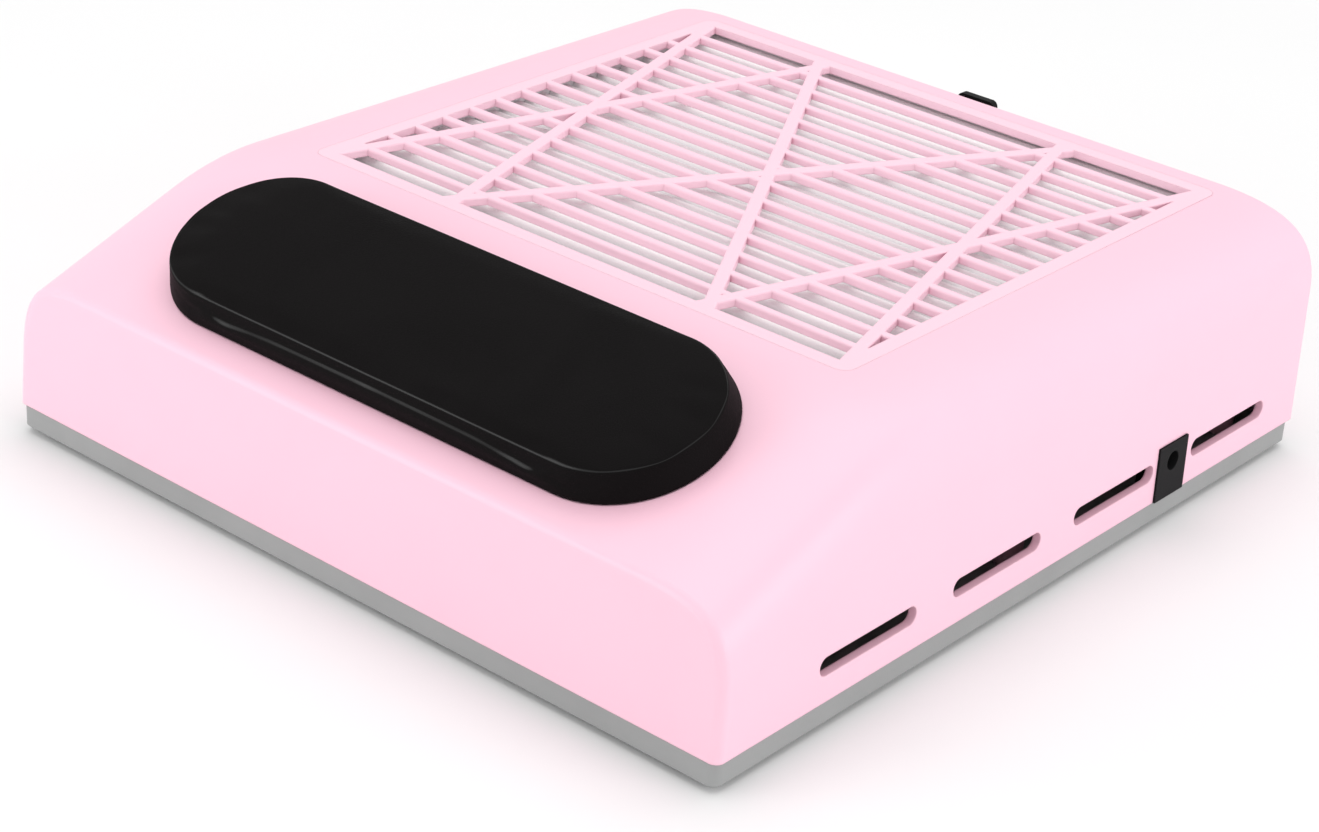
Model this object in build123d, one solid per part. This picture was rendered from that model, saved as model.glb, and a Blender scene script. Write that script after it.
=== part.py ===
from build123d import *
import math
import os

# Nail dust collector: a low desktop extractor with a hand rest on its front slope, a slotted intake
# grille over a pull-out filter, and two axial fans that blow out through slots in both sides.
# +X is the operator's right, +Y runs from the operator's side to the rear, +Z is up.
# The origin is on the table, under the centre of the whole outline, filter handle included.

# ---------------------------------------------------------------- driving dimensions (mm)
WIDTH = 256.0              # shell, where it meets the base
DEPTH = 266.0              # shell, front face to rear face at the base line
HANDLE_OUT = 10.0          # filter handle, behind the rear face
TOP_Z = 72.8               # flat top above the table
CREASE_Z = 48.5            # top of the low front face
BASE_TOP_Z = 9.0           # where the shell stands on the grey base
FOOT_DROP = 1.6            # rubber feet below the base
WALL = 2.5                 # moulded wall of the shell
SIDE_DRAFT = math.tan(math.radians(1.4))
FRONT_LEAN = math.tan(math.radians(2.6))
SLOPE_END = 66.0           # from the front face to where the slope would meet the flat top
BLEND = 15.0               # half length of the soft bend between slope and top
CORNER_DROP = 22.0         # height of the big side roundings
CORNER_REACH_FRONT = 24.0  # their reach inwards at the front face
CORNER_REACH_REAR = 36.0   # and at the rear face
SHOULDER_FULLNESS = 0.72   # control length of the roundings; 0.55 would be a plain quarter ellipse
FRONT_FILLET = 2.6
REAR_FILLET = 1.2

GRILLE_HALF_X = 91.0       # window of the grille
GRILLE_FRONT = 86.7        # its front edge, from the front face
GRILLE_BORDER = 5.0        # panel round the window
GRILLE_DEPTH = 3.7         # panel and flange together
GRILLE_FLANGE = 0.9        # lip glued under the shell's top, with a gap for the glue
FLANGE_OUT = 3.5           # its reach beyond the panel
SLOT_ROWS = 15
SLOT_PITCH = 11.33
SLAT_WIDTH = 2.7
SLAT_HEIGHT = 2.3          # slats, ribs and the window's edge are equally deep, and flush on top
SLAT_ROUND = 0.7
RIB_WIDTH = 3.9
RIB_ROUND = 0.5
RIB_NODE_IN = 3.0          # the ribs cross this far inside the window's front and rear edges

PAD_LENGTH = 185.0
PAD_WIDTH = 57.4
PAD_HEIGHT = 10.5
PAD_LEAN_IN = 2.0          # how far the sides lean in
PAD_CENTRE = 37.2          # from the front face, in plan
PAD_SEAT = 1.0             # depth of the seat sunk into the slope
PAD_STUDS = (-70, -24, 24, 70)

VENT_LENGTH = 39.2
VENT_HEIGHT = 5.4
VENT_Z = 19.3
VENT_CENTRES = (57.6, 112.6, 167.6, 226.6)   # from the front face
SOCKET_CENTRE = 196.4      # power socket, between the last two vents
SOCKET_WIDTH = 14.4
SOCKET_TOP_Z = 25.5
SOCKET_HOLE_Z = 19.9

FILTER_HALF_X = 97.0
FILTER_FRONT = 80.0
FILTER_BOTTOM_Z = 57.1
FILTER_TOP_Z = 68.8

FAN_X = 48.5
FAN_CENTRE = 166.0         # from the front face
FAN_SIZE = 92.0
FAN_DEPTH = 25.4
FAN_BORE_R = 44.0
TRAY_FLOOR_Z = 37.0        # underside of the suction tray, where the fans hang
TRAY_FLOOR = 2.5

SWITCH_X = 78.0
SWITCH_Z = 30.0
SWITCH_THROW = 16.0        # degrees from off to on

# ---------------------------------------------------------------- values that follow from them
FRONT_Y = -(DEPTH + HANDLE_OUT) / 2
REAR_Y = FRONT_Y + DEPTH
CREASE_D = (CREASE_Z - BASE_TOP_Z) * FRONT_LEAN
SLOPE = (TOP_Z - CREASE_Z) / (SLOPE_END - CREASE_D)
SLOPE_DEG = math.degrees(math.atan(SLOPE))
GRILLE_LENGTH = SLOT_ROWS * SLOT_PITCH - SLAT_WIDTH
GRILLE_MID_Y = FRONT_Y + GRILLE_FRONT + GRILLE_LENGTH / 2
FAN_Y = FRONT_Y + FAN_CENTRE
FAN_BOTTOM_Z = TRAY_FLOOR_Z - FAN_DEPTH
BASE_FLOOR_Z = FOOT_DROP + 2.5

BOSS_SPOTS = ((110, 17), (114, 139.5), (112, 252))   # to the side, and from the front face
SHELL_BOSSES = [(side * x, FRONT_Y + d) for side in (-1, 1) for x, d in BOSS_SPOTS]
TRAY_POSTS = [(side * 104, FRONT_Y + d) for side in (-1, 1) for d in (101, 238)]
FOOT_PLACES = [(side * 104, FRONT_Y + d) for side in (-1, 1) for d in (30, 224)]
BOARD_SIZE = (92.0, 46.0)
BOARD_Y = FRONT_Y + 58.0
BOARD_Z = 10.5
WIRE_HEADERS = ((33, 17), (-33, 17), (0, 18), (26, -17))   # on the board, from its middle
LEAD_RADIUS = 1.0
LEAD_LANE_X = 97.3         # gap between the right fan and the posts
LEAD_ARCH_Z = 28.0
FAN_LEAD_ARCH_Z = 22.5
BOARD_POSTS = [(sx * 41, BOARD_Y + sy * 18) for sx in (-1, 1) for sy in (-1, 1)]


# ---------------------------------------------------------------- shared shapes
def block(x0, x1, y0, y1, z0, z1):
    """Axis-aligned box from its limits."""
    return Pos((x0 + x1) / 2, (y0 + y1) / 2, (z0 + z1) / 2) * Box(x1 - x0, y1 - y0, z1 - z0)


def rod(x, y, z0, z1, radius):
    """Upright cylinder between two heights."""
    return Pos(x, y, (z0 + z1) / 2) * Cylinder(radius, z1 - z0)


def tube(x, y, z0, z1, outer, inner):
    return rod(x, y, z0, z1, outer) - rod(x, y, z0 - 1, z1 + 1, inner)


def group(shapes):
    """Separate solids that share one node."""
    return Compound(children=[solid for shape in shapes for solid in shape.solids()])


def top_height(d):
    """Height of the outside top surface at distance d behind the front face."""
    ramp = CREASE_Z + (d - CREASE_D) * SLOPE
    into_bend = d - (SLOPE_END - BLEND)
    if into_bend <= 0:
        return ramp
    if into_bend >= 2 * BLEND:
        return TOP_Z
    return ramp - SLOPE * into_bend ** 2 / (4 * BLEND)


def body_section(d, inset, bottom):
    """Cross-section of the body at distance d, shrunk by inset: drafted sides, round shoulders."""
    reach = CORNER_REACH_FRONT + (CORNER_REACH_REAR - CORNER_REACH_FRONT) * d / DEPTH
    top = top_height(d) - inset
    drop = CORNER_DROP - inset
    spring = top - drop
    foot_x = WIDTH / 2 - inset - SIDE_DRAFT * (bottom - BASE_TOP_Z)
    side_x = WIDTH / 2 - inset - SIDE_DRAFT * (spring - BASE_TOP_Z)
    flat_x = side_x - (reach - inset)
    lift = drop * SHOULDER_FULLNESS
    shoulder = [
        (side_x, spring),
        (side_x - SIDE_DRAFT * lift, spring + lift),
        (flat_x + (reach - inset) * SHOULDER_FULLNESS, top),
        (flat_x, top),
    ]
    outline = [
        Line((-foot_x, bottom), (foot_x, bottom)),
        Line((foot_x, bottom), (side_x, spring)),
        Bezier(*shoulder),
        Line((flat_x, top), (-flat_x, top)),
        Bezier(*[(-x, z) for x, z in reversed(shoulder)]),
        Line((-side_x, spring), (-foot_x, bottom)),
    ]
    plane = Plane(origin=(0, FRONT_Y + d, 0), x_dir=(1, 0, 0), z_dir=(0, -1, 0))
    return plane * make_face(Wire(outline))


def body(inset=0.0, bottom=BASE_TOP_Z):
    """The body's outside form, or its inside when shrunk: ramp, soft bend and flat top."""
    bend_start = SLOPE_END - BLEND
    bend_end = SLOPE_END + BLEND
    ramp = loft([body_section(d, inset, bottom) for d in (-8, bend_start)], ruled=True)
    steps = [bend_start + (bend_end - bend_start) * i / 8 for i in range(9)]
    bend = loft([body_section(d, inset, bottom) for d in steps])
    flat = loft([body_section(d, inset, bottom) for d in (bend_end, DEPTH - inset)], ruled=True)
    whole = ramp + bend + flat
    lean = math.degrees(math.atan(FRONT_LEAN))
    front_cut = Pos(0, FRONT_Y + inset, BASE_TOP_Z) * Rot(-lean, 0, 0) * Pos(0, -50, 0) * Box(400, 100, 300)
    return whole - front_cut


def on_slope(along, out):
    """Place on the front slope: along runs up the slope from the pad's centre, out is away from it."""
    centre_z = CREASE_Z + (PAD_CENTRE - CREASE_D) * SLOPE
    return Pos(0, FRONT_Y + PAD_CENTRE, centre_z) * Rot(SLOPE_DEG, 0, 0) * Pos(0, along, out)


def stadium(length, width, low, high):
    """Slab with round ends, lying on the front slope between two heights above it."""
    return on_slope(0, low) * extrude(SlotOverall(length, width), high - low)


def screw(x, y, z, length, radius=1.4, head_radius=2.8, head=1.8, up=True):
    """Pan-head screw. z is under the head; the thread runs up from it, or down."""
    sign = 1 if up else -1
    shank = rod(x, y, min(z, z + sign * length), max(z, z + sign * length), radius)
    cap = rod(x, y, min(z, z - sign * head), max(z, z - sign * head), head_radius)
    recess = Pos(x, y, z - sign * head) * (Box(0.6, 3.2, 1.6) + Box(3.2, 0.6, 1.6))
    return shank + cap - recess


OUTER = body()
INNER = body(WALL, BASE_TOP_Z - 1)
OUTER_LOW = body(1.0, FOOT_DROP)


# ---------------------------------------------------------------- shell, grille and hand rest
def upper_shell():
    """Pink moulded body: grille opening, pad seat, side vents, socket notch, rear filter slot, bosses."""
    front = OUTER.faces().sort_by(Axis.Y)[0]
    front_rim = [e for e in front.edges() if e.center().Z > BASE_TOP_Z + 0.5]
    shell = fillet(front_rim, FRONT_FILLET)
    rear = shell.faces().sort_by(Axis.Y)[-1]
    rear_rim = [e for e in rear.edges() if e.center().Z > BASE_TOP_Z + 0.5]
    shell = fillet(rear_rim, REAR_FILLET) - INNER
    bosses = [rod(x, y, BASE_FLOOR_Z + 0.1, TOP_Z, 4.0) & OUTER_LOW for x, y in SHELL_BOSSES]
    studs = [rod(x, y, FOOT_DROP, 24, 1.45) for x, y in SHELL_BOSSES]
    shell = shell + bosses - studs
    half_x = GRILLE_HALF_X + GRILLE_BORDER
    half_y = GRILLE_LENGTH / 2 + GRILLE_BORDER
    opening = RectangleRounded(2 * half_x, 2 * half_y, 4)
    shell -= Pos(0, GRILLE_MID_Y, TOP_Z - 6) * extrude(opening, 10)
    shell -= stadium(PAD_LENGTH - 1, PAD_WIDTH - 1, -PAD_SEAT, 12)
    for x in PAD_STUDS:
        shell -= on_slope(0, -6) * Pos(x, 0, 0) * Cylinder(2.2, 14)
    for d in VENT_CENTRES:
        vent = extrude(SlotOverall(VENT_LENGTH, VENT_HEIGHT), 150, both=True)
        shell -= Pos(0, FRONT_Y + d, VENT_Z) * Rot(0, 90, 0) * Rot(0, 0, 90) * vent
    socket_y = FRONT_Y + SOCKET_CENTRE
    half = SOCKET_WIDTH / 2 + 0.1
    shell -= block(110, 140, socket_y - half, socket_y + half, 0, SOCKET_TOP_Z + 0.1)
    slot_x = FILTER_HALF_X + 0.4
    shell -= block(-slot_x, slot_x, REAR_Y - 6, REAR_Y + 6, FILTER_BOTTOM_Z - 0.4, FILTER_TOP_Z + 0.4)
    shell -= block(SWITCH_X - 9.6, SWITCH_X + 9.6, REAR_Y - 6, REAR_Y + 6, SWITCH_Z - 6.5, SWITCH_Z + 6.5)
    return shell


def intake_grille():
    """Slotted panel flush in the shell's top: cross slats, two zigzags of wider ribs, a glued flange."""
    half_x = GRILLE_HALF_X + GRILLE_BORDER
    half_y = GRILLE_LENGTH / 2 + GRILLE_BORDER
    here = Pos(0, GRILLE_MID_Y, TOP_Z - GRILLE_DEPTH)
    panel = extrude(RectangleRounded(2 * half_x, 2 * half_y, 4), GRILLE_DEPTH)
    flange_outline = RectangleRounded(2 * (half_x + FLANGE_OUT), 2 * (half_y + FLANGE_OUT), 6)
    panel += extrude(flange_outline, GRILLE_FLANGE)
    panel -= extrude(Rectangle(2 * GRILLE_HALF_X, GRILLE_LENGTH), GRILLE_DEPTH)
    relief = Rectangle(2 * GRILLE_HALF_X + 6, GRILLE_LENGTH + 6)
    panel = here * (panel - extrude(relief, GRILLE_DEPTH - SLAT_HEIGHT))
    across = Rectangle(2 * GRILLE_HALF_X + 1, SLAT_WIDTH)
    for row in range(1, SLOT_ROWS):
        y = GRILLE_MID_Y - (GRILLE_LENGTH + SLAT_WIDTH) / 2 + row * SLOT_PITCH
        panel += Pos(0, y, TOP_Z - SLAT_HEIGHT) * rounded_bar(across, SLAT_ROUND)
    inside = here * extrude(Rectangle(2 * GRILLE_HALF_X + 1, GRILLE_LENGTH + 1), 12)
    for start, end in zigzag_ribs():
        mid = ((start[0] + end[0]) / 2, (start[1] + end[1]) / 2)
        length = math.dist(start, end) + 4 * RIB_NODE_IN
        turn = math.degrees(math.atan2(end[1] - start[1], end[0] - start[0]))
        rib = rounded_bar(Rectangle(length, RIB_WIDTH), RIB_ROUND)
        panel += Pos(mid[0], GRILLE_MID_Y + mid[1], TOP_Z - SLAT_HEIGHT) * Rot(0, 0, turn) * rib & inside
    return panel


def rounded_bar(outline, radius):
    """Bar of the slats' depth whose long top edges are rounded."""
    bar = extrude(outline, SLAT_HEIGHT)
    return fillet(bar.edges().filter_by(Axis.X).group_by(Axis.Z)[-1], radius)


def zigzag_ribs():
    """Rib ends about the grille's middle: two zigzags that cross, each from corner to corner."""
    x = GRILLE_HALF_X
    y = GRILLE_LENGTH / 2 - RIB_NODE_IN
    first = [(-x, -y), (-x / 2, y), (x / 2, -y), (x, y)]
    second = [(-x, y), (-x / 2, -y), (x / 2, y), (x, -y)]
    return [(path[i], path[i + 1]) for path in (first, second) for i in range(3)]


def hand_rest_carrier():
    """Stiff plate under the pad, with four studs that pass through the slope."""
    plate = stadium(PAD_LENGTH - 5, PAD_WIDTH - 5, -PAD_SEAT, 0.5)
    studs = [on_slope(0, -6) * Pos(x, 0, 0) * Cylinder(2.0, 10.4) for x in PAD_STUDS]
    return plate + studs


def hand_rest_pad():
    """Soft pad: a stadium block whose sides lean in to a rounded top edge, hollowed for its carrier."""
    foot = on_slope(0, 0) * SlotOverall(PAD_LENGTH, PAD_WIDTH)
    crown = on_slope(0, PAD_HEIGHT) * SlotOverall(PAD_LENGTH - 2 * PAD_LEAN_IN, PAD_WIDTH - 2 * PAD_LEAN_IN)
    pad = loft([foot, crown])
    top_edge = pad.faces().sort_by(Axis((0, 0, 0), Plane(on_slope(0, 0)).z_dir))[-1].edges()
    pad = fillet(top_edge, 2.0) - stadium(PAD_LENGTH - 4.4, PAD_WIDTH - 4.4, -1, 0.6)
    return pad - OUTER


def push_nuts():
    """Spring washers pressed on the carrier's studs inside the shell."""
    return group([
        on_slope(0, -PAD_SEAT - WALL - 1.6) * Pos(x, 0, 0) * (Cylinder(4.5, 0.8) - Cylinder(2.02, 2))
        for x in PAD_STUDS
    ])


# ---------------------------------------------------------------- base
def base_plate():
    """Grey tray the shell stands on, with a locating lip, posts for the suction tray and the board."""
    outline = Pos(0, FRONT_Y + DEPTH / 2, 0) * RectangleRounded(WIDTH - 1.2, DEPTH - 1.2, 3)
    rim = extrude(Pos(0, 0, FOOT_DROP) * outline, BASE_TOP_Z - FOOT_DROP)
    rim = chamfer(rim.faces().sort_by(Axis.Z)[0].edges(), 0.8)
    hollow = Pos(0, FRONT_Y + DEPTH / 2, BASE_FLOOR_Z) * RectangleRounded(WIDTH - 10, DEPTH - 10, 4)
    base = rim - extrude(hollow, 20)
    base += [rod(x, y, BASE_FLOOR_Z, TRAY_FLOOR_Z, 4.0) for x, y in TRAY_POSTS]
    base += [rod(x, y, BASE_FLOOR_Z, BOARD_Z, 3.2) for x, y in BOARD_POSTS]
    base -= [rod(x, y, TRAY_FLOOR_Z - 14, TRAY_FLOOR_Z + 1, 1.45) for x, y in TRAY_POSTS]
    base -= [rod(x, y, FOOT_DROP + 2, BOARD_Z + 1, 1.25) for x, y in BOARD_POSTS]
    base -= [rod(x, y, 0, FOOT_DROP + 1.2, 7.2) for x, y in FOOT_PLACES]
    base -= [rod(x, y, 0, FOOT_DROP + 1.4, 3.4) + rod(x, y, 0, 10, 1.7) for x, y in SHELL_BOSSES]
    return base


def rubber_feet():
    """Four glued rubber discs in shallow recesses."""
    disc = rod(0, 0, 0, FOOT_DROP + 1.2, 7.0)
    disc = fillet(disc.edges().sort_by(Axis.Z)[0], 0.6)
    return group([Pos(x, y, 0) * disc for x, y in FOOT_PLACES])


def base_screws():
    """Six screws up through the base into the shell's bosses."""
    return group([screw(x, y, FOOT_DROP + 1.4, 16, head_radius=3.0, head=1.3) for x, y in SHELL_BOSSES])


# ---------------------------------------------------------------- filter drawer
def filter_frame():
    """Rectangular frame of the pull-out filter, with three bars under the media."""
    front = FRONT_Y + FILTER_FRONT
    rear = REAR_Y - WALL
    frame = block(-FILTER_HALF_X, FILTER_HALF_X, front, rear, FILTER_BOTTOM_Z, FILTER_TOP_Z)
    window = (-FILTER_HALF_X + 2.6, FILTER_HALF_X - 2.6, front + 2.6, rear - 5)
    frame -= block(*window, FILTER_BOTTOM_Z + 1.6, FILTER_TOP_Z + 1)
    frame -= block(window[0] + 3, window[1] - 3, window[2] + 3, window[3] - 3, 0, FILTER_TOP_Z)
    for x in (-46, 0, 46):
        frame += block(x - 1.5, x + 1.5, front + 2, rear - 4, FILTER_BOTTOM_Z, FILTER_BOTTOM_Z + 1.6)
    return frame


def filter_media():
    """White pleated sheet that lies in the frame, its folds running across the machine."""
    front = FRONT_Y + FILTER_FRONT + 2.9
    rear = REAR_Y - WALL - 5.3
    folds = 34
    step = (rear - front) / folds
    low = FILTER_BOTTOM_Z + 1.8
    high = FILTER_TOP_Z - 0.3
    skin = 0.9
    lower = [(front + i * step, high - skin if i % 2 else low) for i in range(folds + 1)]
    upper = [(y, z + skin) for y, z in reversed(lower)]
    face = Plane(origin=(-FILTER_HALF_X + 2.9, 0, 0), x_dir=(0, 1, 0), z_dir=(1, 0, 0)) * make_face(
        Polyline(*lower, *upper, close=True)
    )
    return extrude(face, 2 * FILTER_HALF_X - 5.8)


def filter_door():
    """Rear end of the drawer: closes the slot in the shell and carries the finger handle."""
    door = block(-FILTER_HALF_X, FILTER_HALF_X, REAR_Y - WALL, REAR_Y, FILTER_BOTTOM_Z, FILTER_TOP_Z)
    neck = block(-6.8, 6.8, REAR_Y - 1, REAR_Y + HANDLE_OUT - 1, 62.0, 64.6)
    lip = block(-6.8, 6.8, REAR_Y + HANDLE_OUT - 2.4, REAR_Y + HANDLE_OUT, 62.0, 70.2)
    ends = lip.edges().filter_by(Axis.Y).group_by(Axis.Z)[-1]
    return door + neck + fillet(ends, 2.0)


# ---------------------------------------------------------------- suction tray and fans
def suction_tray():
    """Tub under the grille: the drawer slides on its ledges and the fans hang below its floor."""
    front = FRONT_Y + FILTER_FRONT - 3
    rear = REAR_Y - WALL - 0.5
    half = FILTER_HALF_X + 0.5
    top = TRAY_FLOOR_Z + TRAY_FLOOR
    ledge_z = FILTER_BOTTOM_Z - 0.3
    tray = block(-120, 120, front, rear, TRAY_FLOOR_Z, top)
    for side in (-1, 1):
        wall_x = side * (half + 0.9)
        tray += block(wall_x - 0.9, wall_x + 0.9, front, rear, top, FILTER_TOP_Z - 0.4)
        ledge_x = side * (half - 2)
        tray += block(ledge_x - 2, ledge_x + 2, front, rear, ledge_z - 2, ledge_z)
    tray += block(-half, half, front, front + 2, top, FILTER_TOP_Z - 0.4)
    tray += block(-half, half, rear - 3, rear, top, ledge_z - 1.6)
    tray -= [rod(side * FAN_X, FAN_Y, 0, top + 1, FAN_BORE_R) for side in (-1, 1)]
    tray -= [rod(x, y, 0, top + 1, 4.8) for x, y in SHELL_BOSSES]
    tray -= [rod(x, y, 0, top + 1, 1.7) for x, y in TRAY_POSTS]
    tray -= [rod(x, y, 0, top + 1, 1.9) for x, y in fan_screw_places()]
    return tray


def fan_screw_places():
    """Four holes at the corners of each fan."""
    reach = FAN_SIZE / 2 - 4.75
    return [
        (side * FAN_X + sx * reach, FAN_Y + sy * reach)
        for side in (-1, 1) for sx in (-1, 1) for sy in (-1, 1)
    ]


def tray_screws():
    top = TRAY_FLOOR_Z + TRAY_FLOOR
    return group([screw(x, y, top, 12, up=False) for x, y in TRAY_POSTS])


def fan_screws():
    """Eight screws down through the tray's floor into the fans' corners."""
    top = TRAY_FLOOR_Z + TRAY_FLOOR
    return group([screw(x, y, top, 11, radius=1.8, head_radius=3.2, up=False) for x, y in fan_screw_places()])


def fan_housing(x):
    """Square moulding with a round duct, and a bearing tube held by four spokes at the outlet."""
    housing = Pos(x, FAN_Y, FAN_BOTTOM_Z) * extrude(RectangleRounded(FAN_SIZE, FAN_SIZE, 4), FAN_DEPTH)
    housing -= rod(x, FAN_Y, 0, 60, FAN_BORE_R)
    housing += rod(x, FAN_Y, FAN_BOTTOM_Z, FAN_BOTTOM_Z + 2.6, 18.5)
    for turn in (20, 110, 200, 290):
        spoke = Rot(0, 0, turn) * block(17, FAN_BORE_R + 1, -1.6, 1.6, 0, 2.6)
        housing += Pos(x, FAN_Y, FAN_BOTTOM_Z) * spoke
    housing += rod(x, FAN_Y, FAN_BOTTOM_Z, FAN_BOTTOM_Z + 17, 5.6)
    housing -= rod(x, FAN_Y, FAN_BOTTOM_Z + 1.6, FAN_BOTTOM_Z + 18, 4.0)
    for sx, sy in fan_screw_places():
        if sx * x > 0:
            housing -= rod(sx, sy, TRAY_FLOOR_Z - 12, TRAY_FLOOR_Z + 1, 1.85)
    return housing


def fan_rotor(x):
    """Cup hub with seven twisted blades and a boss for the shaft."""
    low = FAN_BOTTOM_Z + 3.6
    high = FAN_BOTTOM_Z + 22
    hub = rod(0, 0, low, high, 19) - rod(0, 0, low - 1, high - 2, 17.5)
    hub += rod(0, 0, high - 4.2, high - 1, 3.2)
    mid = FAN_BOTTOM_Z + 12.8
    root = radial_plane(18.4, mid, 50) * RectangleRounded(19, 1.8, 0.8)
    tip = radial_plane(FAN_BORE_R + 1, mid, 30) * RectangleRounded(29, 1.4, 0.6)
    blade = loft([root, tip])
    for i in range(7):
        hub += Rot(0, 0, i * 360 / 7) * blade
    hub = hub & rod(0, 0, 0, 60, FAN_BORE_R - 0.8)
    hub -= rod(0, 0, 0, high - 1.2, 1.5)
    return Pos(x, FAN_Y, 0) * hub


def radial_plane(radius, z, pitch):
    """Plane across the radius, its x direction tilted by the blade's pitch."""
    lean = math.radians(pitch)
    return Plane(origin=(radius, 0, z), x_dir=(0, math.cos(lean), math.sin(lean)), z_dir=(1, 0, 0))


def rotor_magnet(x):
    """Ring magnet bonded inside the hub."""
    return tube(x, FAN_Y, FAN_BOTTOM_Z + 4.4, FAN_BOTTOM_Z + 16.4, 17.5, 14.8)


def fan_shaft(x):
    """Steel shaft pressed in the hub's boss."""
    return rod(x, FAN_Y, FAN_BOTTOM_Z + 2.4, FAN_BOTTOM_Z + 20.8, 1.5)


def fan_bearings(x):
    """Two ball bearings in the tube, drawn as plain rings."""
    rings = [tube(x, FAN_Y, FAN_BOTTOM_Z + z, FAN_BOTTOM_Z + z + 4, 4.0, 1.55) for z in (2.6, 12.4)]
    return group(rings)


def motor_stator(x):
    """Laminated core with four wound poles, on the bearing tube."""
    low = FAN_BOTTOM_Z + 6.0
    high = FAN_BOTTOM_Z + 14.5
    core = rod(0, 0, low, high, 14.0) - rod(0, 0, low - 1, high + 1, 12.6)
    for turn in (45, 135, 225, 315):
        core -= Rot(0, 0, turn) * block(5, 16, -1.2, 1.2, 0, 60)
    for turn in (0, 90, 180, 270):
        core += Rot(0, 0, turn) * block(7, 13.2, -2.2, 2.2, low, high)
    core += rod(0, 0, low, high, 7.6)
    core -= rod(0, 0, low - 1, high + 1, 5.65)
    return Pos(x, FAN_Y, 0) * core


def motor_windings(x):
    """Copper coils, one round each pole."""
    low = FAN_BOTTOM_Z + 4.8
    high = FAN_BOTTOM_Z + 15.7
    coil = block(8.4, 11.6, -3.6, 3.6, low, high) - block(8, 12, -2.25, 2.25, low + 1.1, high - 1.1)
    return group([Pos(x, FAN_Y, 0) * Rot(0, 0, turn) * coil for turn in (0, 90, 180, 270)])


# ---------------------------------------------------------------- circuit board
def circuit_board():
    board = block(-BOARD_SIZE[0] / 2, BOARD_SIZE[0] / 2, BOARD_Y - BOARD_SIZE[1] / 2,
                  BOARD_Y + BOARD_SIZE[1] / 2, BOARD_Z, BOARD_Z + 1.6)
    return board - [rod(x, y, 0, 20, 1.6) for x, y in BOARD_POSTS]


def board_screws():
    return group([
        screw(x, y, BOARD_Z + 1.6, 6, radius=1.2, head_radius=2.5, head=1.6, up=False) for x, y in BOARD_POSTS
    ])


def board_capacitors():
    """Three upright electrolytic capacitors."""
    top = BOARD_Z + 1.6
    places = ((-24, 8, 5, 12), (-10, 10, 4, 10), (2, 10, 4, 10))
    return group([
        rod(x, BOARD_Y + y, top, top + height, radius) for x, y, radius, height in places
    ])


def board_choke():
    """Toroid choke standing on the board."""
    ring = Cylinder(8, 5) - Cylinder(3.5, 8)
    return Pos(22, BOARD_Y + 8, BOARD_Z + 1.6 + 8.0) * Rot(90, 0, 0) * ring


def board_heat_sink():
    """Finned aluminium block behind the regulator."""
    top = BOARD_Z + 1.6
    sink = block(-14, 14, BOARD_Y - 8, BOARD_Y - 5.5, top, top + 14)
    for i in range(6):
        x = -13 + i * 5.2
        sink += block(x - 0.7, x + 0.7, BOARD_Y - 5.6, BOARD_Y, top, top + 14)
    return sink


def board_regulator():
    """Flat power package against the heat sink, with three legs."""
    top = BOARD_Z + 1.6
    chip = block(-5, 5, BOARD_Y - 12.4, BOARD_Y - 8, top + 4, top + 12)
    leg_y = BOARD_Y - 10.3
    return chip + [block(x - 0.4, x + 0.4, leg_y - 0.3, leg_y + 0.3, top, top + 4.5) for x in (-2.5, 0, 2.5)]


def board_connectors():
    """Three two-way wire headers along the board's rear and front edges."""
    top = BOARD_Z + 1.6
    headers = []
    for x, y in WIRE_HEADERS:
        shell = block(x - 4, x + 4, BOARD_Y + y - 3, BOARD_Y + y + 3, top, top + 6)
        headers.append(shell - block(x - 3, x + 3, BOARD_Y + y - 2, BOARD_Y + y + 2, top + 1, top + 8))
    return group(headers)


# ---------------------------------------------------------------- power socket and switch
def socket_bezel():
    """Black surround of the power socket, following the shell's side down to the base."""
    y = FRONT_Y + SOCKET_CENTRE
    half = SOCKET_WIDTH / 2
    slab = block(121.6, 140, y - half, y + half, BASE_TOP_Z, SOCKET_TOP_Z) & body(-0.6)
    hole = Pos(125, y, SOCKET_HOLE_Z) * Rot(0, 90, 0) * Cylinder(2.9, 20)
    return slab - hole


def socket_body():
    """Barrel socket moulding behind the bezel."""
    y = FRONT_Y + SOCKET_CENTRE
    case = block(109.6, 121.5, y - 4.6, y + 4.6, SOCKET_HOLE_Z - 5.4, SOCKET_HOLE_Z + 5.4)
    well = Pos(119.5, y, SOCKET_HOLE_Z) * Rot(0, 90, 0) * Cylinder(2.9, 12)
    return case - well


def socket_pin():
    """Centre contact of the socket."""
    y = FRONT_Y + SOCKET_CENTRE
    pin = Pos(118.8, y, SOCKET_HOLE_Z) * Rot(0, 90, 0) * Cylinder(1.05, 10.5)
    return fillet(pin.edges().sort_by(Axis.X)[-1], 0.5)


def socket_terminals():
    """Solder tags at the back of the socket."""
    y = FRONT_Y + SOCKET_CENTRE
    z = SOCKET_HOLE_Z
    return group([
        block(105.4, 109.5, y + dy - 1, y + dy + 1, z - 0.3, z + 0.3) for dy in (-3, 3)
    ])


def switch_housing():
    """Snap-in body of the rocker switch, with a flange on the rear face."""
    flange = block(SWITCH_X - 10.5, SWITCH_X + 10.5, REAR_Y, REAR_Y + 1.6, SWITCH_Z - 7.5, SWITCH_Z + 7.5)
    flange = fillet(flange.edges().filter_by(Axis.Y), 1.0)
    case = block(SWITCH_X - 9.4, SWITCH_X + 9.4, REAR_Y - 13, REAR_Y + 0.1, SWITCH_Z - 6.3, SWITCH_Z + 6.3)
    well = block(SWITCH_X - 8.8, SWITCH_X + 8.8, REAR_Y - 6.6, REAR_Y + 3, SWITCH_Z - 5.4, SWITCH_Z + 5.4)
    return flange + case - well


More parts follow.
